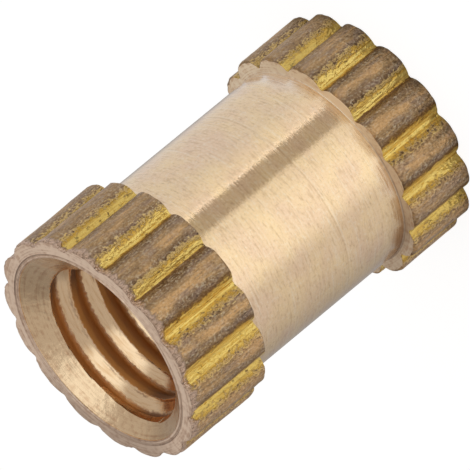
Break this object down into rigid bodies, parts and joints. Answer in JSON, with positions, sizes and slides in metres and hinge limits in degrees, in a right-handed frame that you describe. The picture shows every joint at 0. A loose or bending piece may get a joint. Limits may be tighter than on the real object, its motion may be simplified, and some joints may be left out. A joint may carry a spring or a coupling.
{
  "type": "threaded insert",
  "caption": "Turned brass threaded insert: straight-knurled bands at both ends of a plain barrel, with a tapped through hole countersunk at each end.",
  "frame": {"origin": "centre of the tail face, on the insert's axis", "axes": "+Z along the axis from the tail face to the mouth face, where the wider band is; +X through the crest of one knurl tooth"},
  "size_m": [0.004, 0.004, 0.006],
  "materials": {
    "turned_brass": "turned brass, oxidised and streaked on the knurl's crests, bright yellow in its grooves"
  },
  "bodies": {
    "root": {"insert": "turned_brass"}
  },
  "joints": []
}
